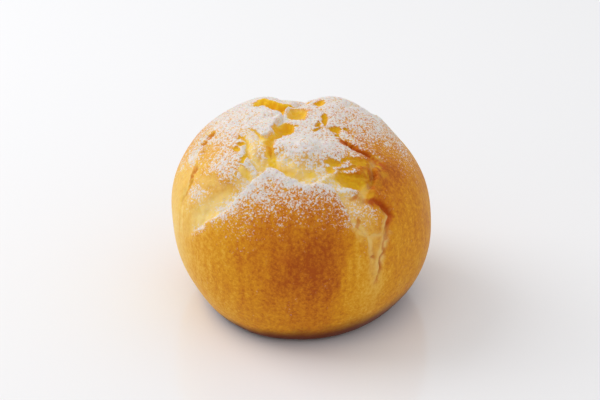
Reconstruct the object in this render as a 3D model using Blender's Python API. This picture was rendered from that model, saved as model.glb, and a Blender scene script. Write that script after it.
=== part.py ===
"""Cream puff: one round of baked choux, closed and filled, standing on its flat base.

Frame: metres, +Z up, origin at the middle of the base, the open, most torn face towards -Y.
Places on the crust are given as (azimuth, elevation) in degrees as seen from the middle of the
belly: azimuth 0 looks out along -Y, 90 along +X, and elevation 90 is straight up.
"""

import math

import bmesh
import bpy
import numpy as np
from mathutils import noise

MM = 0.001

# Driving sizes of the plain round, before it splits.
BELLY_RADIUS = 39.6 * MM  # radius of the widest ring
BELLY_HEIGHT = 25.0 * MM  # height of the widest ring
CROWN_RISE = 32.6 * MM  # from the widest ring up to the crown
CROWN_POWER = 2.3  # 2 is an ellipse; more is squarer in the shoulder
FOOT_DROP = 35.0 * MM  # how deep the lower half would reach without its flat base
FOOT_POWER = 2.2
BASE_ROUNDING = 3.0 * MM  # soft turn from the side into the flat base
CRUST_RADIUS = 38.0 * MM  # radius of the sphere on which widths on the crust are measured
LUMPINESS = 0.5 * MM  # slow unevenness of the whole round
LUMP_SPACING = 15.0 * MM

# Mesh sizes.
ROUND_SUBDIVISIONS = 5
CURVE_STEPS = 4  # pieces between two points of a crack
FINE_DEPTH = 0.3 * MM  # the mesh is twice as fine where the crust is torn deeper than this

# Slow swellings of the round: azimuth, elevation, reach in degrees, height.
SWELLINGS = (
    (-50, 58, 24, 1.2 * MM),  # left shoulder of the crown
    (-125, 56, 26, 2.2 * MM),  # back left
    (135, 64, 24, 3.0 * MM),  # back right
    (-177, 67, 10, -3.0 * MM),  # dip between them
    (178, 54, 12, -1.6 * MM),
    (-148, 62, 10, 0.7 * MM),  # high points beside the dip
    (150, 62, 12, 0.7 * MM),
    (85, 40, 30, -0.7 * MM),
    (90, 0, 32, 0.6 * MM),
    (0, 0, 45, 0.6 * MM),
    (0, -35, 40, 1.6 * MM),  # the front bulges over its base
    (-75, -25, 30, -1.9 * MM),
)

# Torn edges of the crust. Each point is azimuth, elevation and the drop in mm from the crust to
# the torn dough; the crust lies to the right of the way the points run. turn is the width of the
# edge, crest the part of the drop by which the edge stands proud, bank how far that proud edge
# reaches back over the crust, and bed how far the torn dough stays low, in mm.
TORN_EDGES = {
    "front_plate": dict(
        points=(
            (-55, 8, 0.2), (-48, 14, 0.9), (-40, 22, 1.7), (-34, 30, 2.5), (-29, 37, 3.1),
            (-26, 42, 3.4), (-22, 46, 3.5), (-18, 47, 3.5), (-12, 46, 3.2), (-8, 44, 2.8),
            (-3, 43, 2.5), (2, 42, 2.2), (10, 41, 1.8), (17, 39, 1.3), (21, 34, 1.0),
            (23, 30, 0.7), (24, 22, 0.7), (29, 17, 0.7), (30, 8, 0.4), (29, -4, 0.0),
        ),
        turn=1.0, crest=0.4, bank=6.0, bed=6.0,
    ),
    "right_corner": dict(  # the right plate's edge, from the strip up to its corner
        points=(
            (34, -9, 0.0), (36.5, 0, 0.5), (39.8, 6, 0.8), (41.5, 12, 0.9), (45, 16.5, 1.0),
            (47.6, 19, 1.5), (48.2, 22, 2.6), (47, 25.2, 3.2), (43.8, 28.7, 2.8), (39.2, 31, 1.6),
            (35, 32.3, 0.2),
        ),
        turn=0.9, crest=0.1, bank=5.0, bed=2.8,
    ),
    "right_upper": dict(
        points=((35, 31, 1.2), (39, 33, 1.6), (45, 35, 2.0), (50, 38, 2.0), (53, 41, 1.2), (60, 42, 0.4)),
        turn=0.9, crest=0.3, bank=4.0, bed=2.6,
    ),
    "plate_rim": dict(  # the right plate's wall above the island
        points=(
            (62, 38, 0.0), (61.5, 43, 1.0), (60.5, 48, 1.9), (59, 52, 2.5), (58, 57, 2.8),
            (56.5, 61, 2.4), (53, 63.5, 1.2), (49, 65, 0.0),
        ),
        turn=0.9, crest=0.2, bank=4.0, bed=2.2,
    ),
    "left_crown": dict(  # plate on the crown's left, from its back rim round to its ledge
        points=(
            (-126, 57, 0.0), (-123, 61, 0.6), (-121, 65, 1.8), (-118, 68, 2.6), (-113, 72, 3.0),
            (-107, 75.8, 2.9), (-97, 79.2, 2.2), (-84, 81, 1.1), (-65, 76.8, 1.7), (-51, 71.8, 2.1),
            (-43, 68.5, 1.8), (-48, 65.5, 1.2), (-58, 65, 0.9), (-66, 63.5, 0.5), (-72, 62, 0.0),
        ),
        turn=0.9, crest=0.4, bank=5.0, bed=3.0,
    ),
    "valley_side": dict(  # crest between the valley and the torn left side
        points=((-68, 59, 0.2), (-58, 57, 0.8), (-50, 54.5, 1.1), (-43, 51.5, 1.3), (-31, 46, 0.7)),
        turn=0.9, crest=0.3, bank=3.0, bed=3.0,
    ),
    "back_crown": dict(  # plate behind the crown's slot
        points=(
            (178, 64, 0.3), (-176, 66, 1.2), (-170, 69, 2.0), (-163, 71.8, 2.6), (-156, 72.8, 3.2),
            (-151, 72, 3.8), (-146, 70, 4.0), (-142.5, 66.5, 3.6), (-139.5, 63, 2.0), (-137, 60, 0.0),
        ),
        turn=0.9, crest=0.15, bank=7.0, bed=4.0,
    ),
    "back_right": dict(
        points=(
            (112, 66, 0.0), (118, 57, 1.3), (114, 48, 1.6), (128, 41, 1.5), (138, 31, 1.0),
            (136, 20, 0.0),
        ),
        turn=0.9, crest=0.35, bank=5.0, bed=3.6,
    ),
    "back_left": dict(
        points=(
            (-128, 10, 0.0), (-134, 20, 0.8), (-144, 30, 1.3), (-142, 41, 1.5), (-152, 50, 1.3),
            (-160, 60, 0.7), (-150, 68, 0.0),
        ),
        turn=0.9, crest=0.35, bank=5.0, bed=3.6,
    ),
    "left_side": dict(
        points=(
            (-62, 4, 0.2), (-65, 14, 0.8), (-68, 21, 1.3), (-69, 27, 1.5), (-74, 32, 1.4),
            (-82, 37, 1.1), (-91, 41, 1.4), (-95, 46, 0.6), (-102, 50, 0.0),
        ),
        turn=0.9, crest=0.3, bank=4.0, bed=2.4,
    ),
}

# Open cracks: points of azimuth, elevation and depth in mm, and the half width in mm.
CRACKS = {
    "valley": dict(
        points=((-36, 73, 2.8), (-31, 66, 2.6), (-29, 61, 2.4), (-26.5, 57, 2.1), (-23, 53, 1.6),
                (-18, 50, 1.0), (-12, 48.5, 0.5), (-6, 47, 0.0)),
        half_width=1.1,
    ),
    "slot": dict(
        points=((-122, 78.5, 2.6), (-123.5, 75.5, 3.8), (-125, 72, 4.2), (-126.5, 68, 3.8),
                (-128, 64.5, 3.0), (-129, 61.5, 0.0)),
        half_width=2.3,
    ),
    "back_gap": dict(
        points=((-172, 76, 0.4), (-178, 70, 1.3), (-179, 63, 2.1), (179, 56, 2.1), (176, 48, 1.0),
                (174, 40, 0.0)),
        half_width=1.5,
    ),
}

# Lumps and hollows: azimuth, elevation, half lengths along and across in mm, turn of the long
# way in degrees up from level, height in mm, and how steep the sides are (1 is a soft mound).
LUMPS = (
    (-46, 29, 8.5, 5.0, 25, -1.1, 2),  # torn basin on the left
    (-55, 24.5, 4.4, 3.4, 10, 0.8, 2),  # lobe of dough in the basin
    (-4, 62, 7.0, 4.6, -5, 1.7, 2),  # island of crust amid the cracks
    (18, 60, 6.5, 5.0, -10, 1.3, 2),
    (-8, 52, 6.0, 3.4, -5, 0.8, 2),
    (32, 24, 5.0, 3.8, -20, 0.9, 2),  # lump of dough under the right plate's corner
    (34, 10, 5.0, 2.4, 85, -0.5, 1),
    (-34, 75.5, 3.5, 3.6, 34, -3.2, 2),  # wide top of the valley
    (-32, 67.5, 4.0, 2.0, 88, -1.4, 2),
    (-146, 88.0, 3.0, 3.1, 146, -2.6, 2),  # cavity behind it
    (32, 40.3, 4.7, 2.3, -34, -2.4, 2),  # torn pocket beside the right plate
    (82, 12, 9.0, 6.0, 30, -0.5, 1),  # dents in the sides
    (112, -6, 7.0, 9.0, 10, -0.4, 1),
    (-122, 2, 9.0, 6.0, -20, -0.5, 1),
    (152, 14, 8.0, 5.0, 40, -0.6, 1),
)

CRUST_COLOUR = (0.62, 0.32, 0.08, 1.0)
CRUST_ROUGHNESS = 0.55


def direction(azimuth, elevation):
    """Unit vector out of the belly's middle."""
    turn, lift = math.radians(azimuth), math.radians(elevation)
    return np.array(
        (math.cos(lift) * math.sin(turn), -math.cos(lift) * math.cos(turn), math.sin(lift))
    )


def unit(vectors):
    return vectors / np.linalg.norm(vectors, axis=-1, keepdims=True)


def crack_curve(points):
    """A smooth curve on the crust's sphere through the points, with the drop along it."""
    knots = np.array([(*direction(az, el), drop * MM) for az, el, drop in points])
    knots = np.vstack((2 * knots[0] - knots[1], knots, 2 * knots[-1] - knots[-2]))
    rows = []
    for before, start, end, after in zip(knots, knots[1:], knots[2:], knots[3:]):
        for t in np.arange(CURVE_STEPS) / CURVE_STEPS:
            rows.append(
                start
                + 0.5 * t * (end - before)
                + t * t * (before - 2.5 * start + 2 * end - 0.5 * after)
                + t * t * t * 0.5 * (3 * start - 3 * end + after - before)
            )
    rows.append(knots[-2])
    rows = np.array(rows)
    return unit(rows[:, :3]) * CRUST_RADIUS, np.maximum(rows[:, 3], 0.0)


def from_curve(points, places):
    """For each place: its distance from the curve, positive on the crust's side, and the drop."""
    curve, drops = crack_curve(points)
    along = np.diff(curve, axis=0)
    side = unit(np.cross(along, curve[:-1]))
    corner_side = np.vstack((side[0], side[:-1] + side[1:], side[-1]))
    nearest = np.full(len(places), np.inf)
    signed = np.zeros(len(places))
    drop = np.zeros(len(places))
    for k, step in enumerate(along):
        t = np.clip((places - curve[k]) @ step / (step @ step), 0.0, 1.0)
        away = places - (curve[k] + t[:, None] * step)
        distance = np.linalg.norm(away, axis=1)
        towards = (1 - t)[:, None] * corner_side[k] + t[:, None] * corner_side[k + 1]
        facing = np.einsum("ij,ij->i", away, towards)
        closer = distance < nearest
        nearest = np.where(closer, distance, nearest)
        signed = np.where(closer, np.where(facing < 0, -distance, distance), signed)
        drop = np.where(closer, (1 - t) * drops[k] + t * drops[k + 1], drop)
    return signed, drop


def mound(places, azimuth, elevation, long, short, turn, steep):
    """1 at the middle of an oval on the crust, falling to 0 outside it."""
    middle = direction(azimuth, elevation)
    east = unit(np.cross((0.0, 0.0, 1.0), middle))
    north = np.cross(middle, east)
    slant = math.radians(turn)
    along = math.cos(slant) * east + math.sin(slant) * north
    across = math.cos(slant) * north - math.sin(slant) * east
    reach = (places @ along / (long * MM)) ** 2 + (places @ across / (short * MM)) ** 2
    return np.where(places @ middle > 0, np.exp(-(reach**steep)), 0.0)


def torn_relief(places):
    """Height of the crust's proud edges and lumps, and depth of its torn places."""
    raised = np.zeros(len(places))
    sunk = np.zeros(len(places))
    for edge in TORN_EDGES.values():
        distance, drop = from_curve(edge["points"], places)
        turn, bank, bed = edge["turn"] * MM, edge["bank"] * MM, edge["bed"] * MM
        crust = 0.5 + 0.5 * np.tanh(distance / turn)
        proud = edge["crest"] * drop * crust * np.exp(-np.maximum(distance, 0.0) / bank)
        low = drop * (1 - crust) * np.exp(-((np.minimum(distance, 0.0) / bed) ** 2))
        raised = np.maximum(raised, proud)
        sunk = np.maximum(sunk, low)
    for crack in CRACKS.values():
        distance, depth = from_curve(crack["points"], places)
        sunk = np.maximum(sunk, depth * np.exp(-((distance / crack["half_width"] / MM) ** 2)))
    for azimuth, elevation, long, short, turn, height, steep in LUMPS:
        raised += height * MM * mound(places, azimuth, elevation, long, short, turn, steep)
    return raised, sunk


def round_radius(rays):
    """Distance from the belly's middle to the plain round, along each ray."""
    flat = np.hypot(rays[:, 0], rays[:, 1])
    upper = rays[:, 2] > 0
    power = np.where(upper, CROWN_POWER, FOOT_POWER)
    height = np.where(upper, CROWN_RISE, FOOT_DROP)
    radius = ((flat / BELLY_RADIUS) ** power + (np.abs(rays[:, 2]) / height) ** power) ** (-1 / power)
    for azimuth, elevation, reach, gain in SWELLINGS:
        apart = np.degrees(np.arccos(np.clip(rays @ direction(azimuth, elevation), -1.0, 1.0)))
        radius += gain * np.exp(-((apart / reach) ** 2))
    return radius


def unevenness(rays):
    """Slow lumps all over the round."""
    spacing = CRUST_RADIUS / LUMP_SPACING
    return LUMPINESS * np.array([noise.noise(ray * spacing) for ray in rays])


def soft_minimum(a, b, rounding):
    mix = np.clip(0.5 + 0.5 * (b - a) / rounding, 0.0, 1.0)
    return b + (a - b) * mix - rounding * mix * (1 - mix)


def puff_surface(rays):
    """Points of the puff's outer surface along unit rays, on its flat base at z = 0."""
    raised, sunk = torn_relief(rays * CRUST_RADIUS)
    radius = round_radius(rays) + unevenness(rays) + raised - sunk
    down = np.maximum(-rays[:, 2], 1e-4)
    radius = soft_minimum(radius, BELLY_HEIGHT / down, BASE_ROUNDING)
    return rays * radius[:, None] + (0.0, 0.0, BELLY_HEIGHT)


def puff_mesh():
    """A sphere, refined where it is torn, with every vertex moved out to the puff's surface."""
    bm = bmesh.new()
    bmesh.ops.create_icosphere(bm, subdivisions=ROUND_SUBDIVISIONS, radius=1.0)
    middles = unit(np.array([face.calc_center_median() for face in bm.faces]))
    raised, sunk = torn_relief(middles * CRUST_RADIUS)
    torn = [face for face, depth in zip(bm.faces, raised + sunk) if depth > FINE_DEPTH]
    edges = list(dict.fromkeys(edge for face in torn for edge in face.edges))
    bmesh.ops.subdivide_edges(bm, edges=edges, cuts=1, use_grid_fill=True)
    bmesh.ops.triangulate(bm, faces=bm.faces)

    surface = puff_surface(unit(np.array([vertex.co for vertex in bm.verts])))
    middle = (surface.min(axis=0) + surface.max(axis=0)) / 2
    surface[:, :2] -= middle[:2]
    for vertex, place in zip(bm.verts, surface):
        vertex.co = place
    bmesh.ops.recalc_face_normals(bm, faces=bm.faces)
    mesh = bpy.data.meshes.new("choux_puff")
    bm.to_mesh(mesh)
    bm.free()
    mesh.shade_smooth()
    return mesh


def crust_material():
    material = bpy.data.materials.new("baked choux crust")
    material.use_nodes = True
    shader = material.node_tree.nodes["Principled BSDF"]
    shader.inputs["Base Color"].default_value = CRUST_COLOUR
    shader.inputs["Roughness"].default_value = CRUST_ROUGHNESS
    shader.inputs["Metallic"].default_value = 0.0
    return material


def main():
    for thing in list(bpy.data.objects):
        bpy.data.objects.remove(thing)
    mesh = puff_mesh()
    mesh.materials.append(crust_material())
    puff = bpy.data.objects.new("choux_puff", mesh)
    bpy.context.scene.collection.objects.link(puff)


main()
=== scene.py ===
# %% [markdown]
# # A cream puff dusted with icing sugar
# A cream puff is one round of choux: steam blows it up in the oven, the crust sets brown while the
# crown tears open and shows pale dough, and icing sugar is sifted over it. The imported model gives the
# body's true size and place. This script makes the same body again with far finer skin, its baked
# colours, and the sugar as real grains lying on it.

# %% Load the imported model
import math

import bmesh
import bpy
import numpy as np
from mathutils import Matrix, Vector, noise


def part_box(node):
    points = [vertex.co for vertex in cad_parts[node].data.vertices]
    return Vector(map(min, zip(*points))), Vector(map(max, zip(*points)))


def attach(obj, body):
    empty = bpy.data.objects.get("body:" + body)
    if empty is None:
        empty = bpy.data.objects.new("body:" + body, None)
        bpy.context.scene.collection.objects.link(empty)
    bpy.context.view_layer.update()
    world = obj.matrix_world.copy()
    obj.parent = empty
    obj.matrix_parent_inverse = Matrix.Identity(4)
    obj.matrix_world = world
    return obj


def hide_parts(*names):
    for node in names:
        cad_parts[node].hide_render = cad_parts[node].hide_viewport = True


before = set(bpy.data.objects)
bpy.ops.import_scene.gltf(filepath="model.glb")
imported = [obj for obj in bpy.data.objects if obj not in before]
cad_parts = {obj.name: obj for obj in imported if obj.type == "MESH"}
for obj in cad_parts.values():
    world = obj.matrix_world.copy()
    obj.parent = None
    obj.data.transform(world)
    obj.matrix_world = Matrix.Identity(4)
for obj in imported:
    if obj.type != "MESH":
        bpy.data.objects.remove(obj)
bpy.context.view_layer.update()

MM = 0.001
NOISE_SEED = 1
noise.seed_set(NOISE_SEED)  # the same wandering edges on every run
scene = bpy.context.scene
low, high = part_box("choux_puff")
print("packed puff, mm:", [round(size / MM, 1) for size in high - low])

# %% [markdown]
# ## Camera
# The puff is seen from some way above the table through a long lens, as food is usually shown, so
# that its sides hardly converge. The camera aims at the middle of the body.

# %% Camera
CAMERA_LIFT = 27.4  # degrees above the horizon
CAMERA_DISTANCE = 0.65
CAMERA_LENS = 128.6  # mm, on a 36 mm sensor
AIM_HEIGHT = 31.0 * MM
AIM_SIDE = -0.4 * MM


def aim(thing, place, target):
    """Put a camera or lamp at place and turn it to face target."""
    thing.location = place
    thing.rotation_euler = (Vector(target) - Vector(place)).to_track_quat("-Z", "Y").to_euler()


camera = bpy.data.objects.new("camera", bpy.data.cameras.new("camera"))
scene.collection.objects.link(camera)
lift = math.radians(CAMERA_LIFT)
aim(
    camera,
    (AIM_SIDE, -CAMERA_DISTANCE * math.cos(lift), AIM_HEIGHT + CAMERA_DISTANCE * math.sin(lift)),
    (AIM_SIDE, 0.0, AIM_HEIGHT),
)
camera.data.lens = CAMERA_LENS
camera.data.clip_start = 0.01
scene.camera = camera
print("camera at", [round(c, 3) for c in camera.location])

# %% [markdown]
# ## The plain round
# Before it tears, the piped choux is a squat ball: a superellipse turned about its axis, a little
# squarer than an ellipse, with its foot cut flat by the tray. Every place on it is named by the
# direction in which it lies from the middle of the belly, so one number, the distance along that
# direction, gives the whole shape, and cracks and lumps only add to it or take from it.

# %% Sizes of the plain round
BELLY_RADIUS = 39.6 * MM
BELLY_HEIGHT = 25.0 * MM
CROWN_RISE = 32.6 * MM
CROWN_POWER = 2.3
FOOT_DROP = 35.0 * MM
FOOT_POWER = 2.2
BASE_ROUNDING = 3.0 * MM
CRUST_RADIUS = 38.0 * MM  # widths on the crust are measured on a sphere of this radius
LUMPINESS = 0.5 * MM
LUMP_SPACING = 15.0 * MM

# Azimuth, elevation, reach in degrees, height.
SWELLINGS = (
    (-50, 58, 24, 1.2 * MM),  # left shoulder of the crown
    (-125, 56, 26, 2.2 * MM),  # back left
    (135, 64, 24, 3.0 * MM),  # back right
    (-177, 67, 10, -3.0 * MM),  # dip between them
    (178, 54, 12, -1.6 * MM),
    (-148, 62, 10, 0.7 * MM),  # high points beside the dip
    (150, 62, 12, 0.7 * MM),
    (85, 40, 30, -0.7 * MM),
    (90, 0, 32, 0.6 * MM),
    (0, 0, 45, 0.6 * MM),
    (0, -35, 40, 1.6 * MM),  # the front bulges over its base
    (-75, -25, 30, -1.9 * MM),
)

print("plain round, mm:", round(2 * BELLY_RADIUS / MM, 1), "wide")

# %% Directions, the round's radius and noise over it


def direction(azimuth, elevation):
    """Unit vector: azimuth 0 looks out of the front, 90 to the right, elevation 90 is up."""
    turn, rise = math.radians(azimuth), math.radians(elevation)
    return np.array(
        (math.cos(rise) * math.sin(turn), -math.cos(rise) * math.cos(turn), math.sin(rise))
    )


def unit(vectors):
    return vectors / np.linalg.norm(vectors, axis=-1, keepdims=True)


def round_radius(rays):
    """Distance from the belly's middle to the untorn round, along each ray."""
    flat = np.hypot(rays[:, 0], rays[:, 1])
    upper = rays[:, 2] > 0
    power = np.where(upper, CROWN_POWER, FOOT_POWER)
    height = np.where(upper, CROWN_RISE, FOOT_DROP)
    radius = ((flat / BELLY_RADIUS) ** power + (np.abs(rays[:, 2]) / height) ** power) ** (-1 / power)
    for azimuth, elevation, reach, gain in SWELLINGS:
        apart = np.degrees(np.arccos(np.clip(rays @ direction(azimuth, elevation), -1.0, 1.0)))
        radius += gain * np.exp(-((apart / reach) ** 2))
    return radius


def wobble(rays, spacing, octaves=1):
    """Smooth noise from about -1 to 1 over the crust, with bumps spacing apart."""
    scale = CRUST_RADIUS / spacing
    if octaves == 1:
        return np.array([noise.noise(ray) for ray in rays * scale])
    return np.array([noise.fractal(ray, 1.0, 2.0, octaves) for ray in rays * scale])


# %% [markdown]
# ## Where the crust tore
# Steam splits the crown along a few curves. On one side the browned crust ends in a proud edge, and
# on the other the dough stays low. Each curve is a short list of given places, joined by a
# smooth spline, and the imported solid uses the same ones. Here the edges are sharper, hang over a
# little, and wander, as torn dough does.

# %% Torn edges
# Points: azimuth, elevation, drop in mm; the crust is on the right of the way they run. Turn is the
# width of the edge, bank and bed how far its two sides take to level out, reach how far its wall's
# colour goes, all in mm. Crest is the share of the drop by which the edge stands proud. Wall names the
# wall's colour (pale dough unless said), tint its strength, climb how far it goes up over the edge and
# power how suddenly it stops. Frost is the width of the sugar caught on the edge, and taper narrows
# the bed where the drop is small.
TORN_EDGES = {
    "front_plate": dict(
        points=(
            (-55, 8, 0.2), (-48, 14, 0.9), (-40, 22, 1.7), (-34, 30, 2.5), (-29, 37, 3.1),
            (-26, 42, 3.4), (-22, 46, 3.5), (-18, 47, 3.5), (-12, 46, 3.2), (-8, 44, 2.8),
            (-3, 43, 2.5), (2, 42, 2.2), (10, 41, 1.8), (17, 39, 1.3), (21, 34, 1.0),
            (23, 30, 0.6), (24, 24, 0.3),
        ),
        turn=0.5, crest=0.4, bank=6.0, bed=6.0, frost=1.6,
    ),
    "front_side": dict(  # thin torn line down to the base
        points=((23, 28, 0.6), (24, 22, 0.9), (29, 17, 0.9), (30, 8, 0.5), (29, -4, 0.0)),
        turn=0.4, crest=0.4, bank=4.0, bed=1.6,
    ),
    "right_plate": dict(
        points=((34, -9, 0.0), (36.5, 0, 0.5), (39.8, 6, 0.8), (41.5, 12, 1.0), (44, 17, 1.0),
                (46, 20, 0.6)),
        turn=0.35, crest=0.3, bank=5.0, bed=2.6,
    ),
    # The undercut's wall is coloured red-brown: partly baked crust, partly painted shade under the
    # lifted corner.
    "right_corner": dict(  # undercut, baked red-brown in its shade
        points=(
            (42, 13, 0.4), (45, 16.5, 0.8), (47.6, 19, 1.5), (48.2, 22, 2.6), (47, 25.2, 3.3),
            (43.8, 28.7, 2.8), (39.2, 31, 1.6), (35, 32.3, 0.2),
        ),
        turn=0.8, crest=0.1, bank=5.0, bed=2.8, reach=2.2, power=10, tint=1.7, wall="browned_and_shade",
    ),
    "lump_foot": dict(  # the lump under the corner ends above the pale strip
        points=((42, 14.5, 0.3), (37, 16, 0.6), (31, 17.5, 0.7), (27.5, 19.5, 0.6), (24, 22.5, 0.3)),
        turn=0.35, crest=0.5, bank=1.6, bed=1.4,
    ),
    "right_upper": dict(
        points=((35, 31, 1.2), (39, 33, 1.6), (45, 35, 2.0), (50, 38, 2.0), (53, 41, 1.2),
                (60, 42, 0.4)),
        turn=0.35, crest=0.3, bank=4.0, bed=2.6,
    ),
    "plate_rim": dict(  # the right plate's red-brown wall above the island
        points=(
            (62, 38, 0.0), (61.5, 43, 1.0), (60.5, 48, 1.9), (59, 52, 2.5), (58, 57, 2.8),
            (56.5, 61, 2.4), (53, 63.5, 1.2), (49, 65, 0.0),
        ),
        turn=0.7, crest=0.2, bank=4.0, bed=1.9, reach=2.2, tint=1.7, wall="browned_and_shade",
    ),
    "pocket_rim": dict(  # ledge over the torn pocket
        points=((46, 38.5, 0.5), (43, 41, 1.1), (38, 43.4, 1.5), (32, 45.4, 1.5), (27, 46.2, 1.1),
                (24, 45, 0.4)),
        turn=0.3, crest=0.3, bank=2.5, bed=2.4, wall="deep", tint=0.7,
    ),
    "left_crown": dict(  # plate on the crown's left, from its back rim round to its ledge
        points=(
            (-126, 57, 0.0), (-123, 61, 0.6), (-121, 65, 1.8), (-118, 68, 2.6), (-113, 72, 3.0),
            (-107, 75.8, 2.9), (-97, 79.2, 2.2), (-84, 81, 1.1), (-65, 76.8, 1.7), (-51, 71.8, 2.1),
            (-43, 68.5, 1.8), (-48, 65.5, 1.2), (-58, 65, 0.9), (-66, 63.5, 0.5), (-72, 62, 0.0),
        ),
        turn=0.4, crest=0.4, bank=5.0, bed=3.0, frost=1.1,
    ),
    "valley_side": dict(  # crest between the valley and the torn left side
        points=((-68, 59, 0.2), (-58, 57, 0.8), (-50, 54.5, 1.1), (-43, 51.5, 1.3), (-36, 48.5, 1.2),
                (-31, 46, 0.7)),
        turn=0.4, crest=0.3, bank=3.0, bed=3.0, frost=1.2,
    ),
    "back_crown": dict(  # plate behind the crown's slot
        points=(
            (178, 64, 0.3), (-176, 66, 1.2), (-170, 69, 2.0), (-163, 71.8, 2.6), (-156, 72.8, 3.2),
            (-151, 72, 3.8), (-146, 70, 4.0), (-142.5, 66.5, 3.6), (-139.5, 63, 2.0), (-137, 60, 0.0),
        ),
        turn=0.5, crest=0.15, bank=7.0, bed=4.0, wall="deep", tint=1.9, climb=1.4,
    ),
    "back_right": dict(
        points=(
            (112, 66, 0.0), (118, 57, 1.3), (114, 48, 1.6), (128, 41, 1.5), (138, 31, 1.0),
            (136, 20, 0.0),
        ),
        turn=0.5, crest=0.35, bank=5.0, bed=3.6, taper=0.75,
    ),
    "back_left": dict(
        points=(
            (-128, 10, 0.0), (-134, 20, 0.8), (-144, 30, 1.3), (-142, 41, 1.5), (-152, 50, 1.3),
            (-160, 60, 0.7), (-150, 68, 0.0),
        ),
        turn=0.5, crest=0.35, bank=5.0, bed=3.6, taper=0.75,
    ),
    "left_side": dict(
        points=(
            (-62, 4, 0.2), (-65, 14, 0.8), (-68, 21, 1.3), (-69, 27, 1.5), (-74, 32, 1.4),
            (-82, 37, 1.1), (-91, 41, 1.4), (-95, 46, 0.6), (-102, 50, 0.0),
        ),
        turn=0.4, crest=0.3, bank=4.0, bed=2.0,
    ),
    "left_frill": dict(  # ragged end of the sugared crust over the pale torn side
        points=(
            (-30, 41, 0.2), (-35, 39, 0.5), (-42, 38, 0.5), (-47, 36, 0.4), (-53, 37, 0.3),
            (-60, 35, 0.3), (-66, 34, 0.2), (-70, 30, 0.1),
        ),
        turn=0.4, crest=0.4, bank=2.5, bed=3.0,
    ),
}

# %% [markdown]
# Between the torn edges the dough has split in narrow cracks, risen in lumps and burst in small
# bubbles. A crack is a line like a torn edge, but equal on both sides. A lump or a bubble is an oval
# that fades out at its border, which is quick to place and cannot leave a seam.

# %% Open cracks
# Points: azimuth, elevation, depth in mm; a higher power gives a crack steeper walls.
CRACKS = {
    "valley": dict(
        points=((-36, 73, 2.8), (-31, 66, 2.6), (-29, 61, 2.4), (-26.5, 57, 2.1), (-23, 53, 1.6),
                (-18, 50, 1.0), (-12, 48.5, 0.5), (-6, 47, 0.0)),
        half_width=0.8, power=2, tint=0.75,
    ),
    "slot": dict(
        points=((-122, 78.5, 2.6), (-123.5, 75.5, 3.8), (-125, 72, 4.2), (-126.5, 68, 3.8),
                (-128, 64.5, 3.0), (-129, 61.5, 0.0)),
        half_width=2.3, power=4,
    ),
    "back_gap": dict(  # where the back plate ends
        points=((-172, 76, 0.4), (-178, 70, 1.3), (-179, 63, 2.1), (179, 56, 2.1), (176, 48, 1.0),
                (174, 40, 0.0)),
        half_width=1.5, power=2, tint=0.0,
    ),
    # Its walls are darkened red-brown: painted shade in the crack.
    "strip_crack": dict(
        points=((45.5, 19, 0.6), (43, 17, 1.0), (41.5, 14, 1.1), (38.5, 10.5, 1.0), (39.5, 7, 1.1),
                (36.5, 4.5, 1.1), (36, 0.5, 1.1), (34, -3, 0.9), (34, -8, 0.0)),
        half_width=0.36, power=2, wall="browned_and_shade", tint=0.5,
    ),
    "left_ledge": dict(
        points=((-66, 58, 0.6), (-60, 58, 0.9), (-52, 57, 0.9), (-45, 54, 0.8), (-42, 50, 0.3)),
        half_width=0.35, power=2, tint=0.7,
    ),
    "upper_ledge": dict(
        points=((-68, 63, 0.3), (-60, 64, 0.8), (-50, 64, 1.0), (-42, 65, 1.0), (-37, 67, 0.8)),
        half_width=0.35, power=2, tint=0.7,
    ),
    "pocket_fold": dict(
        points=((30, 51, 0.3), (36, 52, 0.9), (42, 51, 0.7), (48, 48, 0.8), (51, 45, 0.5),
                (52, 40, 0.2)),
        half_width=0.4, power=2, tint=0.6,
    ),
    "plate_fold": dict(
        points=((41, 42, 0.4), (44, 39.5, 0.9), (44.5, 37, 0.9), (42, 34.5, 0.7), (38, 33.5, 0.3)),
        half_width=0.45, power=2, wall="browned_and_shade", tint=0.4,
    ),
    "left_seam": dict(
        points=((-89, 40, 0.5), (-84, 37.6, 0.7), (-79, 34.8, 0.8), (-73, 33, 0.8), (-69.6, 29, 0.9),
                (-68.3, 24.5, 0.9), (-69.5, 19, 0.7), (-70, 15, 0.0)),
        half_width=0.5, power=2, wall="browned_and_shade", tint=0.35,
    ),
    "back_fork": dict(
        points=((-150, 52, 0.6), (-158, 45, 1.0), (-163, 36, 0.9), (-172, 29, 0.6), (-176, 22, 0.0)),
        half_width=0.5, power=2, tint=0.3,
    ),
    "pocket_crease": dict(
        points=((24, 46, 0.3), (30, 47.5, 0.8), (36, 46.5, 0.5), (44, 46.5, 0.8), (50, 43, 0.3)),
        half_width=0.35, power=2, tint=0.6,
    ),
}

# %% Ridges and lumps
# Points: azimuth, elevation, height in mm.
RIDGES = {
    "cavity_rim": dict(
        points=((-72, 82, 0.4), (-98, 83.4, 0.7), (-130, 83.1, 0.8), (-155, 80.5, 0.7),
                (-172, 75.7, 0.3)),
        half_width=0.8,
    ),
    "pocket_lip": dict(
        points=((10, 41.5, 0.4), (15, 43, 0.9), (20, 45, 1.0), (26, 47, 0.6)),
        half_width=0.9,
    ),
    "under_pocket": dict(
        points=((20, 38, 0.4), (25, 37, 1.0), (31, 36, 1.0), (34, 33, 0.6), (35, 30, 0.3)),
        half_width=1.0,
    ),
    "far_left": dict(
        points=((-81, 44, 0.3), (-78, 41, 0.8), (-74.5, 38, 0.8), (-72, 35.5, 0.3)),
        half_width=1.0,
    ),
    "corner_lip": dict(
        points=((37, 33.4, 0.3), (41.5, 32.4, 0.6), (46, 29.6, 0.6), (50, 27.4, 0.2)),
        half_width=0.5,
    ),
    "strip_side": dict(
        points=((28, 18, 0.3), (31, 15, 0.5), (32, 8, 0.4), (32, 0, 0.2)),
        half_width=0.6,
    ),
}
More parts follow.
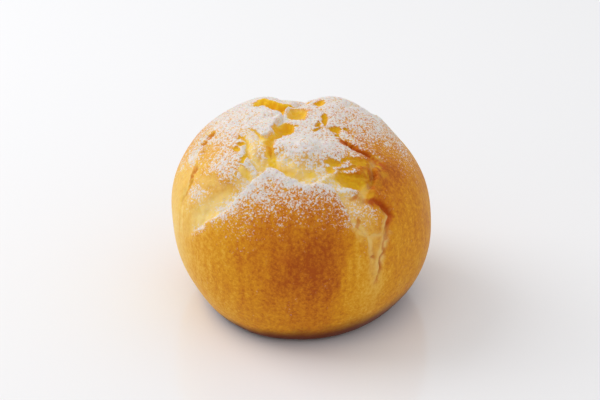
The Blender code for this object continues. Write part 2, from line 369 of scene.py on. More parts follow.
# Azimuth, elevation, half lengths along and across in mm, turn, height in mm, steepness.
LUMPS = (
    (-46, 29, 8.5, 5.0, 25, -1.1, 2),  # torn basin on the left
    (-4, 62, 7.0, 4.6, -5, 1.7, 2),  # island of crust amid the cracks
    (18, 60, 6.5, 5.0, -10, 1.3, 2),
    (-8, 52, 6.0, 3.4, -5, 0.8, 2),
    (-55, 24.5, 4.4, 3.4, 10, 0.8, 2),  # lobe of dough in the basin
    (32, 24, 5.0, 3.8, -20, 0.9, 2),  # lump of dough under the right plate's corner
    (38, 20.5, 2.6, 2.0, -40, 0.6, 1),
    (34, 10, 5.0, 2.4, 85, -0.5, 1),
    (82, 12, 9.0, 6.0, 30, -0.5, 1),  # dents in the sides
    (112, -6, 7.0, 9.0, 10, -0.4, 1),
    (-122, 2, 9.0, 6.0, -20, -0.5, 1),
    (152, 14, 8.0, 5.0, 40, -0.6, 1),
)

# %% Burst bubbles and pits
# Azimuth, elevation, half lengths along and across in mm, turn, depth in mm, how golden, how pale.
HOLLOWS = (
    (-34, 75.5, 3.5, 3.6, 34, 3.2, 1.0, 0.0),  # wide top of the valley
    (-32, 67.5, 4.0, 2.0, 88, 2.8, 1.0, 0.0),
    # The cavity is made pale and golden, brighter than its own shade allows: painted glow of light
    # through its thin wall.
    (-146, 88.0, 3.0, 3.1, 146, 2.6, 0.9, 0.9),  # cavity behind it
    (32, 40.3, 4.7, 2.3, -34, 2.4, 0.85, 0.0),  # torn pocket beside the right plate
    (36.5, 33.5, 2.2, 1.5, -20, 0.9, 0.6, 0.0),
    (45, 47.5, 2.6, 1.1, -25, 0.7, 0.6, 0.0),
    (-36, 43.6, 2.6, 1.1, -30, 0.5, 0.25, 1.0),  # bare patch in the valley's white rim
    (-42.4, 49.7, 0.6, 1.5, 10, 0.7, 0.7, 0.0),
    (25, 51, 2.2, 1.0, -20, 1.0, 0.8, 0.0),
    (21, 47, 1.2, 1.6, 0, 0.9, 0.7, 0.0),
    (143, 74, 2.6, 1.5, -60, 1.4, 0.8, 0.0),
    (76, 77, 3.2, 0.8, 20, 1.2, 0.9, 0.0),
    (50, 78, 1.6, 0.7, 20, 1.0, 0.9, 0.0),
    (38, 75, 1.8, 0.5, 0, 0.8, 0.8, 0.0),
    (61, 69.5, 1.9, 1.3, 10, 1.3, 0.8, 0.0),
    (71, 66.5, 0.9, 0.9, 0, 0.9, 0.8, 0.0),
    (52, 66, 1.0, 0.5, 0, 0.6, 0.7, 0.0),
    (-18, 80, 1.6, 0.6, 20, 0.7, 0.9, 0.0),
    (-54.4, 55.1, 1.0, 0.8, 0, 0.8, 0.8, 0.0),
    (-53.3, 51.8, 1.3, 0.8, 20, 0.8, 0.8, 0.0),
    (-63, 57, 0.7, 0.5, 0, 0.6, 0.8, 0.0),
    (7, 47, 1.4, 1.0, 0, 0.5, 0.6, 0.0),
)
# Small pits baked brown inside: azimuth, elevation, half lengths in mm, turn, depth in mm.
PITS = (
    (-89.5, 46, 1.9, 1.6, 30, 1.4),
    (-85.5, 41.2, 1.8, 1.5, 60, 1.3),
    (-71, 32.6, 1.3, 1.1, 60, 1.0),
    (-69.4, 29.6, 1.1, 0.9, 70, 0.9),
    (-67.6, 26, 2.4, 1.0, 75, 1.1),
    (-67.5, 20.8, 2.2, 1.0, 80, 1.0),
    (32, 6.5, 0.7, 0.6, 0, 0.9),
    (27, 22, 0.6, 1.4, 0, 0.7),
    (29, 33, 1.2, 0.6, 0, 0.7),
)

# %% [markdown]
# Each line of points is joined by a smooth spline. The distance from it, with a sign that says on
# which side a place lies, is all that an edge needs: one profile of that distance makes the crest, the
# wall and the bed.

# %% Distance from a curve and from an oval
CURVE_STEPS = 4  # straight pieces between two points of a curve


def crack_curve(points):
    """A smooth curve on the crust's sphere through the points, with the drop along it."""
    knots = np.array([(*direction(az, el), drop * MM) for az, el, drop in points])
    knots = np.vstack((2 * knots[0] - knots[1], knots, 2 * knots[-1] - knots[-2]))
    rows = []
    for before, start, end, after in zip(knots, knots[1:], knots[2:], knots[3:]):
        for t in np.arange(CURVE_STEPS) / CURVE_STEPS:
            rows.append(
                start
                + 0.5 * t * (end - before)
                + t * t * (before - 2.5 * start + 2 * end - 0.5 * after)
                + t * t * t * 0.5 * (3 * start - 3 * end + after - before)
            )
    rows.append(knots[-2])
    rows = np.array(rows)
    return unit(rows[:, :3]) * CRUST_RADIUS, np.maximum(rows[:, 3], 0.0)


def from_curve(points, places):
    """Distance of each place from the curve (positive on the crust), the drop, and the way to it."""
    curve, drops = crack_curve(points)
    along = np.diff(curve, axis=0)
    side = unit(np.cross(along, curve[:-1]))
    corner_side = np.vstack((side[0], unit(side[:-1] + side[1:]), side[-1]))
    nearest = np.full(len(places), np.inf)
    signed = np.zeros(len(places))
    drop = np.zeros(len(places))
    inward = np.zeros((len(places), 3))
    for k, step in enumerate(along):
        t = np.clip((places - curve[k]) @ step / (step @ step), 0.0, 1.0)
        away = places - (curve[k] + t[:, None] * step)
        distance = np.linalg.norm(away, axis=1)
        towards = (1 - t)[:, None] * corner_side[k] + t[:, None] * corner_side[k + 1]
        facing = np.einsum("ij,ij->i", away, towards)
        closer = distance < nearest
        nearest = np.where(closer, distance, nearest)
        signed = np.where(closer, np.where(facing < 0, -distance, distance), signed)
        drop = np.where(closer, (1 - t) * drops[k] + t * drops[k + 1], drop)
        inward = np.where(closer[:, None], towards, inward)
    return signed, drop, inward


def mound(places, azimuth, elevation, long, short, turn, steep):
    """1 at the middle of an oval on the crust, falling to 0 outside it."""
    middle = direction(azimuth, elevation)
    east = unit(np.cross((0.0, 0.0, 1.0), middle))
    north = np.cross(middle, east)
    slant = math.radians(turn)
    along = math.cos(slant) * east + math.sin(slant) * north
    across = math.cos(slant) * north - math.sin(slant) * east
    reach = (places @ along / (long * MM)) ** 2 + (places @ across / (short * MM)) ** 2
    return np.where(places @ middle > 0, np.exp(-(reach**steep)), 0.0)


print(len(TORN_EDGES), "torn edges,", len(CRACKS), "open cracks,", len(LUMPS), "lumps and hollows")

# %% [markdown]
# ## Relief of the torn crown
# Torn choux has no straight borders. The places are moved about by noise before they are looked up,
# so every edge wanders and frays, and the edges lean out over the bed as lifted crust does. Along with
# the heights, the same profiles give masks for the colours: pale dough, golden depths, browned walls,
# and painted shade in the undercut under the right plate's corner and in the strip's crack.

# %% Torn edges wander
WANDER = 0.9 * MM  # how far a torn edge strays from its smooth curve
WANDER_SPACING = 4.5 * MM
FRAY = 0.45 * MM  # small raggedness on top of that
FRAY_SPACING = 1.3 * MM
OVERHANG = 0.2  # share of the drop by which a torn edge leans out over the bed


def strayed(rays):
    """The places on the crust's sphere, moved about a little, so that edges through them wander."""
    slow = np.array([noise.noise_vector(ray) for ray in rays * (CRUST_RADIUS / WANDER_SPACING)])
    fast = np.array([noise.noise_vector(ray) for ray in rays * (CRUST_RADIUS / FRAY_SPACING)])
    return unit(rays * CRUST_RADIUS + WANDER * slow + FRAY * fast) * CRUST_RADIUS


# %% Relief and masks
WALL_RISE = 0.8  # how far the torn edge's middle lies down its wall, in turns
RIM_WIDTH = 1.6 * MM
FULL_COLOUR_DROP = 1.0 * MM  # an edge or ridge this high shows its colour fully
FULL_FROST_DROP = 2.4 * MM
LIP_WIDTH = 2.2  # how far the lean reaches over the edge, in turns
PIT_BROWNING = 0.55
MASKS = ("raised", "sunk", "bare", "deep", "browned_and_shade", "rim", "frost")


def torn_relief(places):
    """Heights raised, sunk and lean, and masks bare, deep, browned_and_shade (browned crust and painted
    shade), rim and frost from 0 to 1.
    """
    out = {name: np.zeros(len(places)) for name in MASKS}
    out["lean"] = np.zeros((len(places), 3))

    def keep(name, values):
        out[name] = np.maximum(out[name], values)

    for edge in TORN_EDGES.values():
        distance, drop, inward = from_curve(edge["points"], places)
        turn, bank, bed = edge["turn"] * MM, edge["bank"] * MM, edge["bed"] * MM
        strength = np.clip(drop / FULL_COLOUR_DROP, 0, 1)
        narrowed = 1 - edge.get("taper", 0.0) * (1 - strength)
        bed = bed * narrowed
        inside, outside = np.minimum(distance, 0.0), np.maximum(distance, 0.0)
        crust = 0.5 + 0.5 * np.tanh(distance / turn + WALL_RISE)
        coloured_to = 0.5 + 0.5 * np.tanh(distance / turn + WALL_RISE - edge.get("climb", 0.0))
        reach = edge.get("reach", edge["bed"]) * MM * narrowed
        shade = strength * (1 - coloured_to) * np.exp(-((inside / reach) ** edge.get("power", 4)))
        keep("raised", edge["crest"] * drop * crust * np.exp(-outside / bank))
        keep("sunk", drop * (1 - crust) * np.exp(-((inside / bed) ** 2)))
        keep(edge.get("wall", "bare"), np.clip(edge.get("tint", 1.0) * shade, 0, 1))
        keep("rim", strength * crust * np.exp(-outside / RIM_WIDTH))
        if "frost" in edge:
            caught = np.exp(-((distance / edge["frost"] / MM) ** 2))
            keep("frost", np.clip(drop / FULL_FROST_DROP, 0, 1) * caught)
        lip = crust * np.exp(-((distance / (LIP_WIDTH * turn)) ** 2))
        out["lean"] -= inward * (OVERHANG * drop * lip)[:, None]
    for crack in CRACKS.values():
        distance, depth, _ = from_curve(crack["points"], places)
        hollow = np.exp(-(np.abs(distance / crack["half_width"] / MM) ** crack["power"]))
        keep("sunk", depth * hollow)
        shade = crack.get("tint", 1.0) * np.clip(depth / (0.8 * MM), 0, 1) * np.clip(2 * hollow, 0, 1)
        keep(crack.get("wall", "deep"), shade)
    open_holes = np.zeros(len(places))
    for azimuth, elevation, long, short, turn, depth, golden, pale in HOLLOWS:
        hole = mound(places, azimuth, elevation, long, short, turn, 3)
        keep("sunk", depth * MM * hole)
        keep("deep", golden * np.clip(2.5 * hole, 0, 1))
        keep("bare", pale * np.clip(2.5 * hole, 0, 1))
        open_holes = np.maximum(open_holes, hole * min(depth / 2, 1))
    for azimuth, elevation, long, short, turn, depth in PITS:
        hole = mound(places, azimuth, elevation, long, short, turn, 2)
        keep("sunk", depth * MM * hole)
        keep("browned_and_shade", PIT_BROWNING * np.clip(1.5 * hole, 0, 1))
    for ridge in RIDGES.values():
        distance, height, _ = from_curve(ridge["points"], places)
        top = np.exp(-((distance / ridge["half_width"] / MM) ** 2))
        out["raised"] += height * top
        keep("rim", np.clip(height / FULL_COLOUR_DROP, 0, 1) * top)
        out["deep"] *= 1 - np.clip(height / (0.9 * MM), 0, 1) * top
    for azimuth, elevation, long, short, turn, height, steep in LUMPS:
        out["raised"] += height * MM * mound(places, azimuth, elevation, long, short, turn, steep)
    out["raised"] *= 1 - open_holes
    return out


def soft_minimum(a, b, rounding):
    mix = np.clip(0.5 + 0.5 * (b - a) / rounding, 0.0, 1.0)
    return b + (a - b) * mix - rounding * mix * (1 - mix)


# %% [markdown]
# ## The crust's mesh
# A ball of triangles made by the icosphere operator is even all over. Most of the skin is smooth and
# needs few; the torn crown needs many. So faces there are split again and again before the vertices
# are pushed out to the surface.

# %% Ball, refined where the crust is torn
BALL_SUBDIVISIONS = 6


def refine(ball, wanted):
    """Split each face whose middle is wanted into four."""
    middles = unit(np.array([face.calc_center_median() for face in ball.faces]))
    chosen = wanted(middles)
    edges = list(dict.fromkeys(e for face, yes in zip(ball.faces, chosen) if yes for e in face.edges))
    bmesh.ops.subdivide_edges(ball, edges=edges, cuts=1, use_grid_fill=True)
    bmesh.ops.triangulate(ball, faces=ball.faces)
    print("faces after refining:", len(ball.faces))


def above_foot(rays):
    return rays[:, 2] > -0.35


def torn(rays):
    """Where the relief or its colour changes."""
    relief = torn_relief(rays * CRUST_RADIUS)
    coloured = np.maximum(relief["deep"], relief["browned_and_shade"]) > 0.2
    return (np.abs(relief["raised"]) + relief["sunk"] > 0.5 * MM) | coloured


def steep(rays):
    """Close to the wall of a torn edge or crack, except near the base."""
    places = rays * CRUST_RADIUS
    close = np.zeros(len(rays), dtype=bool)
    for edge in TORN_EDGES.values():
        distance, drop, _ = from_curve(edge["points"], places)
        close |= (np.abs(distance) < 1.2 * MM) & (drop > 0.6 * MM)
    for crack in CRACKS.values():
        distance, drop, _ = from_curve(crack["points"], places)
        close |= (np.abs(distance) < 1.5 * crack["half_width"] * MM) & (drop > 0.4 * MM)
    return close & (rays[:, 2] > -0.1)


ball = bmesh.new()
bmesh.ops.create_icosphere(ball, subdivisions=BALL_SUBDIVISIONS, radius=1.0)
refine(ball, above_foot)
refine(ball, torn)
refine(ball, steep)

# %% [markdown]
# ## The skin
# Baked choux is never smooth: where it tore it sets in crumbs a few millimetres across with creases
# between them, and pale dough shows stretched strands. Crumbs are made from the distance to the
# nearest of many random points, strands from noise drawn out along the pull. The base is cut flat with
# a soft corner, as the tray leaves it.

# %% Crumbs and strands
CRUMB_HEIGHT = 0.55 * MM
CRUMB_SPACING = 2.6 * MM
STRAND_HEIGHT = 0.18 * MM
STRAND_WIDTH = 1.2 * MM
STRAND_LENGTH = 2.5  # times its width
CROWN_MIDDLE = (-0.05, -0.12)  # seen from above, in parts of the round
CROWN_REACH = 0.80
CROWN_FADE = 0.25


def crumbly(rays, spacing):
    """Rounded crumbs about 1 high with creases of 0 between them."""
    scale = CRUST_RADIUS / spacing
    return np.array([1 - 1.4 * noise.voronoi(ray)[0][0] for ray in rays * scale])


rays = unit(np.array([vertex.co for vertex in ball.verts]))
relief = torn_relief(strayed(rays))
azimuths = np.arctan2(rays[:, 0], -rays[:, 1])
elevations = np.arcsin(np.clip(rays[:, 2], -1, 1))
strand_places = np.stack(
    (azimuths * np.cos(elevations) * CRUST_RADIUS / STRAND_WIDTH,
     elevations * CRUST_RADIUS / (STRAND_LENGTH * STRAND_WIDTH), 0 * azimuths), axis=1
)
strands = np.array([noise.noise(place) for place in strand_places])
bent = strayed(rays) / CRUST_RADIUS
crumbs = 0.6 * crumbly(bent, CRUMB_SPACING) + 0.4 * crumbly(bent, CRUMB_SPACING / 2.3)
crumbs += 0.35 * wobble(rays, CRUMB_SPACING, 4) - 0.45
from_crown = np.hypot(rays[:, 0] - CROWN_MIDDLE[0], rays[:, 1] - CROWN_MIDDLE[1])
crown = np.clip((CROWN_REACH - from_crown) / CROWN_FADE, 0, 1) * (rays[:, 2] > 0)
rough = 0.45 * crown + 0.6 * relief["bare"] + 0.6 * relief["rim"] + 0.4 * relief["deep"]
rough += 0.6 * mound(rays * CRUST_RADIUS, 46, 39, 8, 7, 0, 2)
rough += 0.5 * mound(rays * CRUST_RADIUS, 32, 41, 5, 4, -30, 2)
rough = np.clip(rough, 0, 1)
print("share of the crust that is crumbly:", round(float((rough > 0.4).mean()), 2))

# %% Push the ball out to the puff's surface
radius = (
    round_radius(rays)
    + LUMPINESS * wobble(rays, LUMP_SPACING)
    + relief["raised"]
    - relief["sunk"]
    + CRUMB_HEIGHT * rough * crumbs
    + STRAND_HEIGHT * relief["bare"] * strands
)
down = np.maximum(-rays[:, 2], 1e-4)
radius = soft_minimum(radius, BELLY_HEIGHT / down, BASE_ROUNDING)
surface = rays * radius[:, None] + relief["lean"] + (0.0, 0.0, BELLY_HEIGHT)
surface[:, 2] = np.maximum(surface[:, 2], 0.0)
centre = (surface.min(axis=0) + surface.max(axis=0)) / 2
puff_shift = np.array(low + high)[:2] / 2 - centre[:2]
surface[:, :2] += puff_shift
print("shift, mm:", puff_shift / MM)

# %% The crust as a piece
for vertex, place in zip(ball.verts, surface):
    vertex.co = place
bmesh.ops.recalc_face_normals(ball, faces=ball.faces)
crust_mesh = bpy.data.meshes.new("choux_crust")
ball.to_mesh(crust_mesh)
ball.free()
crust_mesh.shade_smooth()
crust = bpy.data.objects.new("choux_crust", crust_mesh)
scene.collection.objects.link(crust)
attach(crust, "root")
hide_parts("choux_puff")
print("crust:", len(crust_mesh.polygons), "triangles")

# %% [markdown]
# ## Where the sugar lies and how dark the crust is
# Sugar is sifted from above, so it is thick on the crown, thins out down the sides and is missing
# under edges and in holes. The crust is darkest where the front bulges to the heat and pale where
# dough was covered until it tore. Light and shade are painted in too: a paler left edge, a darker right
# side and foot, and shade in an undercut, a crack and a few hollows. These are soft areas, so each is
# kept as a number at the vertices and the material adds the fine grain.

# %% Number layers on the crust
normals = np.array([vertex.normal for vertex in crust_mesh.vertices])


def store(mesh, name, values):
    """Keep one number for each vertex, for the material to read."""
    layer = mesh.attributes.new(name, "FLOAT", "POINT")
    layer.data.foreach_set("value", np.clip(values, 0, 1).astype(np.float32))


def spot(azimuth, elevation, long, short, turn=0, steep=1):
    """1 at the middle of an oval on the crust, fading to 0; half lengths in mm."""
    return mound(rays * CRUST_RADIUS, azimuth, elevation, long, short, turn, steep)


def patches(table):
    """The sum of the ovals in a table, each row ending in its strength."""
    return sum(gain * spot(*place) for *place, gain in table)


# %% Sugar
# Elevation in degrees, cover
SUGAR_BY_ELEVATION = (
    (-90, 0), (14, 0), (21, 0.12), (27, 0.34), (35, 0.52), (45, 0.70), (52, 0.84), (90, 0.88),
)
# Azimuth, elevation, half lengths in mm, turn, more or less sugar
SUGAR_PATCHES = (
    # front plate and its edge
    (-22, 36, 7, 4, 20, 0.22), (-29, 19, 8, 6, 0, 0.33), (2, 33, 9, 4, 0, 0.05),
    (20, 34, 3, 3, 0, -0.20), (-50, 13.5, 3, 2, 30, 0.60), (-54, 10, 2, 3, 0, 0.45),
    (-41, 26.5, 4, 2, 45, 0.65), (-36, 34, 4, 2, 45, 0.55),
    # torn left side
    (-57, 25, 5, 4, 20, 0.60), (-58, 33, 8, 3.4, 10, -0.30), (-42, 31, 6, 3.5, 25, -0.30),
    (-75, 22, 5, 12, 0, -0.25), (-44, 41, 6, 3, -20, 0.12), (-50, 43, 7, 4, 0, 0.15),
    (-88, 22, 8, 13, 0, 0.22), (-86, 40, 2, 4, 0, 0.35), (-80, 34, 3, 2, 0, 0.35),
    (-75, 42, 5, 5, 0, -0.18), (-60, 50, 9, 7, 0, -0.22), (-38, 58, 4, 5, 0, -0.32),
    # crown
    (-146, 88, 3.2, 3.2, 0, -0.70), (-76, 82, 2.5, 1.6, 0, 0.35), (2, 64, 8, 5, 0, 0.16),
    (-10, 49, 8, 3, 0, -0.40), (83, 64, 8, 8, 0, -0.12),
    # right plate, pocket and the lump below it
    (68, 50, 7, 8, 0, -0.18), (66, 48, 10, 10, 0, -0.22), (75, 40, 10, 8, 0, -0.03),
    (56, 32, 9, 8, 0, -0.36), (46, 40, 8, 6, 0, -0.15), (46, 41.5, 4, 5, 0, -0.45),
    (32, 40.3, 5, 3, -34, -0.50), (27, 37.5, 4, 2, -25, 0.35), (28, 36, 4, 1.6, -10, 0.30),
    (31, 24.5, 5.5, 4, -20, 0.38), (40, 10, 6, 8, 0, -0.10),
)
facing_up = np.clip((normals[:, 2] - 0.35) / 0.45, 0.0, 1.0)
stops, levels = np.array(SUGAR_BY_ELEVATION).T
sugar = np.interp(np.degrees(elevations), stops, levels) + patches(SUGAR_PATCHES)
sugar *= 0.62 + 0.38 * facing_up
sugar += 0.30 * relief["rim"] * np.clip(rays[:, 2] * 2.5, 0, 1) + 0.35 * rough * crumbs
sugar += 0.50 * relief["frost"] * (0.75 + 0.6 * wobble(rays, 2.2 * MM, 2))
sugar += 0.16 * wobble(rays, 3.2 * MM, 2)
sugar -= 1.2 * relief["deep"] + 1.1 * relief["browned_and_shade"] + 0.12 * relief["bare"]
store(crust_mesh, "sugar", sugar)
print("share of the crust under thick sugar:", round(float((sugar > 0.6).mean()), 2))

# %% Pale, golden and browned dough
BARE_PATCHES = (
    (-40, 59, 3.4, 5.0, 0, 0.70), (0, 54, 10, 3.5, 0, 0.50), (-50, 27, 9, 5, 25, 0.35),
    (-78, -2, 10, 24, 0, 0.58), (34, 5, 2.2, 11, 0, 0.20), (47, 40, 5.5, 6, 0, -0.80),
    (-35, 33.5, 3, 1.8, -20, -0.60), (-42, 34, 5, 3, 20, -0.12),
)
DEEP_PATCHES = (
    (-35, 33.5, 3, 1.8, -20, 0.50), (-68.5, 25, 6.5, 1.2, 80, 0.50), (-76, 35, 4, 1.2, 30, 0.30),
)
CREASES_FROM = 32  # degrees of elevation above which creases between crumbs are golden
bare = relief["bare"] + patches(BARE_PATCHES)
store(crust_mesh, "bare", bare)
crease = np.clip(-0.5 - 2.4 * crumbs, 0, 1) * np.clip(rough * 2, 0, 1)
crease *= np.clip((np.degrees(elevations) - CREASES_FROM) / 8, 0, 1)
deep = relief["deep"] + 0.6 * crease + patches(DEEP_PATCHES)
deep += 0.45 * bare * np.clip(-1.5 * strands, 0, 1)
store(crust_mesh, "deep", deep)
# Painted shade: the spot at the slot's left end darkens it where shade falls.
browned_and_shade = relief["browned_and_shade"] + 0.5 * spot(-127, 63, 4, 3, 40) + 0.3 * spot(-6, 10.5, 1.8, 1.6)
# The pocket beside the right plate is darkened partly as browned dough and partly as painted shade in
# its hollow.
browned_and_shade += 0.5 * spot(36, 42, 10, 7) * np.clip(1.6 * wobble(rays, 1.3 * MM, 2), 0, 1)
# Painted shade: the crescent under the right plate's corner, darkened as the undercut's shadow.
browned_and_shade += 0.2 * spot(44.6, 26.5, 3.6, 1.3, -48, 2)
store(crust_mesh, "browned_and_shade", browned_and_shade)

# %% How darkly the crust is baked, with painted light and shade
# The front plate is baked darkest, up to a soft border on its right.
PLATE_BORDER = ((24, 26, 1), (22, 15, 1), (18, 2, 1), (15, -12, 1), (16, -34, 1))
BAKE_AND_LIGHT_PATCHES = (
    # The first three patches: a paler left edge, partly paler crust and partly painted highlight where
    # light from behind grazes it, and a darker right side, partly browner crust and partly painted
    # shade away from the window.
    (-75, 5, 20, 30, 0, -0.22), (60, 38, 16, 16, 0, 0.12), (62, -2, 26, 26, 0, 0.08),
    (49, 37, 10, 5, 0, 0.22), (65, 34, 3, 3, 0, 0.12), (30, 0, 6, 22, 0, -0.10),
    (165, 8, 22, 15, 0, 0.22), (-140, -4, 14, 16, 0, -0.14), (-115, 30, 12, 8, 0, 0.14),
)
beside, _, _ = from_curve(PLATE_BORDER, rays * CRUST_RADIUS)
front_plate = 0.5 + 0.5 * np.tanh(beside / (1.8 * MM))
streak_places = np.stack((azimuths * 24, elevations * 4, 0 * azimuths + 7), axis=1)
streaks = np.array([noise.fractal(place, 1.0, 2.0, 2) for place in streak_places])
streaks *= np.cos(elevations) ** 2
bake_and_light = 0.50 + patches(BAKE_AND_LIGHT_PATCHES) + 0.14 * crown + 0.06 * wobble(rays, 9 * MM, 3) + 0.13 * streaks
bake_and_light += front_plate * (0.35 * spot(2, 6, 19, 18) + 0.10 * spot(14, 4, 10, 18))
store(crust_mesh, "bake_and_light", bake_and_light)
# The dark foot is partly browning from the tray and partly painted shade under the belly; it reaches
# higher on the right, away from the window.
foot_height = (7.6 + 4.5 * rays[:, 0] + 1.2 * wobble(rays, 5 * MM, 3)) * MM
store(crust_mesh, "foot", 1.7 * (1 - surface[:, 2] / foot_height))

# %% [markdown]
# ## Materials
# A puff has one skin, so it has one material. Its colour runs from pale yellow to red-brown with the
# baking, with some light and shade painted in, and over that come pale torn dough, golden depths,
# browned walls and painted shade, the dark foot and the finest sugar. Each is laid on by its number
# layer, broken up by noise, so no border looks painted.

# %% Small functions for materials


def linear(hex_colour):
    """An sRGB hex colour as linear RGBA."""
    parts = [int(hex_colour[k : k + 2], 16) / 255 for k in (1, 3, 5)]
    return (*[c / 12.92 if c <= 0.04045 else ((c + 0.055) / 1.055) ** 2.4 for c in parts], 1.0)


def new_material(name, **inputs):
    """A material and its Principled node, with the node's inputs set to plain values."""
    material = bpy.data.materials.new(name)
    material.use_nodes = True
    shader = material.node_tree.nodes["Principled BSDF"]
    for key, value in inputs.items():
        shader.inputs[key.replace("_", " ")].default_value = value
    return material, shader


def add(tree, kind, settings=None, **inputs):
    """Add a node; settings are its properties, inputs are its values or the outputs to link.

    An input is called by its name, with _ for a space, or by its place, as _0, _1 and so on.
    """
    node = tree.nodes.new(kind)
    for name, value in (settings or {}).items():
        setattr(node, name, value)
    for name, value in inputs.items():
        socket = node.inputs[int(name[1:])] if name[0] == "_" else node.inputs[name.replace("_", " ")]
        if isinstance(value, bpy.types.NodeSocket):
            tree.links.new(value, socket)
        else:
            socket.default_value = value
    return node


# %% Baked choux pastry
# Matt, a little translucent, with the faint bloom of a dry crust; it gives the eye the brown and gold.
choux, shader = new_material(
    "baked choux pastry",
    Roughness=0.6,
    Specular_IOR_Level=0.15,
    Subsurface_Weight=0.2,
    Subsurface_Radius=(1.0, 0.55, 0.2),
    Subsurface_Scale=1.4 * MM,
    Sheen_Weight=0.1,
    Sheen_Roughness=0.3,
)
tree = choux.node_tree
coords = add(tree, "ShaderNodeTexCoord").outputs["Object"]


def mask(name):
    return add(tree, "ShaderNodeAttribute", dict(attribute_name=name)).outputs["Fac"]


def mathematics(operation, a, b, c=0.0, clamp=False):
    made = add(tree, "ShaderNodeMath", dict(operation=operation, use_clamp=clamp), _0=a, _1=b, _2=c)
    return made.outputs[0]


def spread(value, low, high, to_low=0.0, to_high=1.0):
    """The value stretched from low..high to to_low..to_high."""
    made = add(
        tree, "ShaderNodeMapRange",
        Value=value, From_Min=low, From_Max=high, To_Min=to_low, To_Max=to_high,
    )
    return made.outputs[0]


def specks(size, detail, roughness):
    """Noise with specks of about this size."""
    made = add(
        tree, "ShaderNodeTexNoise",
        Vector=coords, Scale=1 / size, Detail=detail, Roughness=roughness,
    )
    return made.outputs["Fac"]


def blend(fac, a, b):
    return add(tree, "ShaderNodeMix", dict(data_type="RGBA"), _0=fac, _6=a, _7=b).outputs[2]


# %% Crust colour
BAKE_COLOURS = (
    (0.0, "#f2d08a"), (0.25, "#edb844"), (0.5, "#e09a18"), (0.75, "#cc7812"), (1.0, "#ac500c"),
)
mottle = specks(1.1 * MM, 2.5, 0.8)
bake_and_light_level = mathematics("SUBTRACT", mathematics("MULTIPLY_ADD", mottle, 0.9, mask("bake_and_light")), 0.45)
crust_ramp = add(tree, "ShaderNodeValToRGB", Fac=bake_and_light_level)
ramp = crust_ramp.color_ramp
for position, colour in BAKE_COLOURS[1:-1]:
    ramp.elements.new(position)
for element, (position, colour) in zip(ramp.elements, BAKE_COLOURS):
    element.position = position
    element.color = linear(colour)
print("crust colours:", [colour for position, colour in BAKE_COLOURS])

# %% Torn dough, browned walls and painted shade, golden depths and the dark foot
golden = mathematics("MULTIPLY", spread(mottle, 0.3, 0.7, 0.5, 1.1), mask("deep"), clamp=True)
colour = blend(mask("bare"), crust_ramp.outputs["Color"], linear("#f2d284"))
# Red-brown for browned walls and for painted shade in undercuts, cracks and hollows.
colour = blend(mask("browned_and_shade"), colour, linear("#c4601a"))
colour = blend(golden, colour, linear("#f2c622"))
# Dark foot: browned base and painted shade under the belly.
colour = blend(mask("foot"), colour, linear("#6c2c08"))

# %% The finest sugar, laid on as colour
# Its grains are under a tenth of a millimetre; they are drawn as clots of them, which is what shows.
clots = mathematics("MULTIPLY_ADD", specks(0.65 * MM, 1.6, 0.7), 2.4, mask("sugar"))
dusted = mathematics("MULTIPLY", spread(clots, 1.6, 2.05), spread(mask("sugar"), 0.03, 0.2))
colour = blend(dusted, colour, linear("#e8e0db"))
tree.links.new(colour, shader.inputs["Base Color"])
fine_bump = add(tree, "ShaderNodeBump", Height=mottle, Distance=0.25 * MM, Strength=0.6)
tree.links.new(fine_bump.outputs[0], shader.inputs["Normal"])
crust_mesh.materials.append(choux)

# %% [markdown]
# ## Icing sugar
# Sifted sugar falls straight down and lies on what faces up, in single grains at the edge of the
# dusting and in clumps where it is thick. Geometry Nodes scatter points over the crust, more where
# the sugar mask is strong, and put a little angular grain on each. The result is kept as plain mesh.

# %% One grain of sugar
# Off-white and matt; light goes a little way into it, so heaps look soft.
icing, shader = new_material(
    "icing sugar, sifted",
    Base_Color=linear("#ebe4e0"),
    Roughness=0.6,
    Subsurface_Weight=0.3,
    Subsurface_Scale=0.4 * MM,
)


def grain_shape(name, faces):
    """One grain of unit radius, from the fewest faces that still look like a crystal."""
    shape = bmesh.new()
    if faces == 8:
        bmesh.ops.create_uvsphere(shape, u_segments=4, v_segments=2, radius=1.0)
    else:
        bmesh.ops.create_icosphere(shape, subdivisions=1, radius=1.0)
    mesh = bpy.data.meshes.new(name)
    shape.to_mesh(mesh)
    shape.free()
    return bpy.data.objects.new(name, mesh)


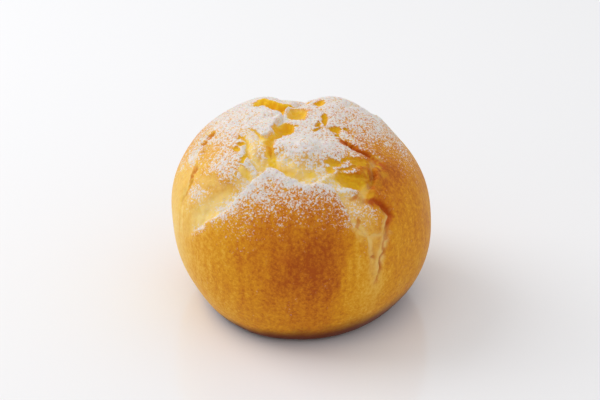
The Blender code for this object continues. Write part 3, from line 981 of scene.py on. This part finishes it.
# %% Sift it over the crust
def sift(name, host, shape, per_square_mm, smallest, largest, seed):
    """Scatter grains over host by its density attribute, and keep them as one mesh."""
    tree = bpy.data.node_groups.new(name, "GeometryNodeTree")
    tree.interface.new_socket("Geometry", in_out="OUTPUT", socket_type="NodeSocketGeometry")
    ground = add(tree, "GeometryNodeObjectInfo", Object=host)
    thickness = add(tree, "GeometryNodeInputNamedAttribute", dict(data_type="FLOAT"), Name="sifting")
    density = add(
        tree, "ShaderNodeMath", dict(operation="MULTIPLY"),
        _0=thickness.outputs["Attribute"], _1=per_square_mm / MM**2,
    )
    scatter = add(
        tree, "GeometryNodeDistributePointsOnFaces",
        Mesh=ground.outputs["Geometry"], Density=density.outputs[0], Seed=seed,
    )
    size = add(
        tree, "FunctionNodeRandomValue", dict(data_type="FLOAT"),
        _2=smallest, _3=largest, Seed=seed + 1,
    )
    turn = add(
        tree, "FunctionNodeRandomValue", dict(data_type="FLOAT_VECTOR"),
        _0=(0.0, 0.0, 0.0), _1=(6.28, 6.28, 6.28), Seed=seed + 2,
    )
    grain = add(tree, "GeometryNodeObjectInfo", Object=shape)
    placed = add(
        tree, "GeometryNodeInstanceOnPoints",
        Points=scatter.outputs["Points"], Instance=grain.outputs["Geometry"],
        Rotation=turn.outputs["Value"], Scale=size.outputs[1],
    )
    real = add(tree, "GeometryNodeRealizeInstances", Geometry=placed.outputs["Instances"])
    add(tree, "NodeGroupOutput", Geometry=real.outputs["Geometry"])

    maker = bpy.data.objects.new(name + "_maker", bpy.data.meshes.new(name + "_maker"))
    scene.collection.objects.link(maker)
    maker.modifiers.new("sift", "NODES").node_group = tree
    bpy.context.view_layer.update()
    made = maker.evaluated_get(bpy.context.evaluated_depsgraph_get())
    mesh = bpy.data.meshes.new_from_object(made)
    bpy.data.objects.remove(maker)
    mesh.name = name
    mesh.materials.clear()
    mesh.materials.append(icing)
    sugar_piece = bpy.data.objects.new(name, mesh)
    scene.collection.objects.link(sugar_piece)
    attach(sugar_piece, "root")
    print(name, len(mesh.polygons), "faces")


clumpy = np.clip(0.5 + 0.9 * wobble(rays, 1.6 * MM, 3), 0, 1)
sifting = np.clip(1.7 * sugar - 0.7, 0, 1) * clumpy
store(crust_mesh, "sifting", sifting)
small_grain = grain_shape("small_grain", 8)
clump_shape = grain_shape("clump", 20)
sift("sugar_grains", crust, small_grain, 16.0, 0.06 * MM, 0.13 * MM, 3)
sift("sugar_clumps", crust, clump_shape, 2.0, 0.11 * MM, 0.24 * MM, 11)
for shape in (small_grain, clump_shape):
    bpy.data.objects.remove(shape)

# %% [markdown]
# ## Table and light
# A pale glazed table and one large window light from the upper left behind, with an even pale room
# around it: the shade under the belly stays soft and the torn edges on the right catch shadow.

# %% Table
floor_mesh = bpy.data.meshes.new("table")
sheet = bmesh.new()
bmesh.ops.create_grid(sheet, x_segments=1, y_segments=1, size=3.0)
sheet.to_mesh(floor_mesh)
sheet.free()
table = bpy.data.objects.new("table", floor_mesh)
scene.collection.objects.link(table)
# Nearly white and smooth; it throws a faint mirror image of the puff back at the eye.
glaze, shader = new_material("pale glazed table", Base_Color=linear("#f4f4f6"), Roughness=0.15)
floor_mesh.materials.append(glaze)

# %% Light
ROOM_LIGHT = 0.77
WINDOW_PLACE = (-0.6, 0.25, 0.6)
WINDOW_SIZE = 0.6
WINDOW_POWER = 3.25  # watts
world = bpy.data.worlds.new("studio")
scene.world = world
world.use_nodes = True
world.node_tree.nodes["Background"].inputs["Color"].default_value = (1.0, 1.0, 1.0, 1.0)
world.node_tree.nodes["Background"].inputs["Strength"].default_value = ROOM_LIGHT
window = bpy.data.objects.new("window", bpy.data.lights.new("window", "AREA"))
window.data.size = WINDOW_SIZE
window.data.energy = WINDOW_POWER
aim(window, WINDOW_PLACE, (0.0, 0.0, AIM_HEIGHT))
scene.collection.objects.link(window)
scene.view_settings.view_transform = "Standard"
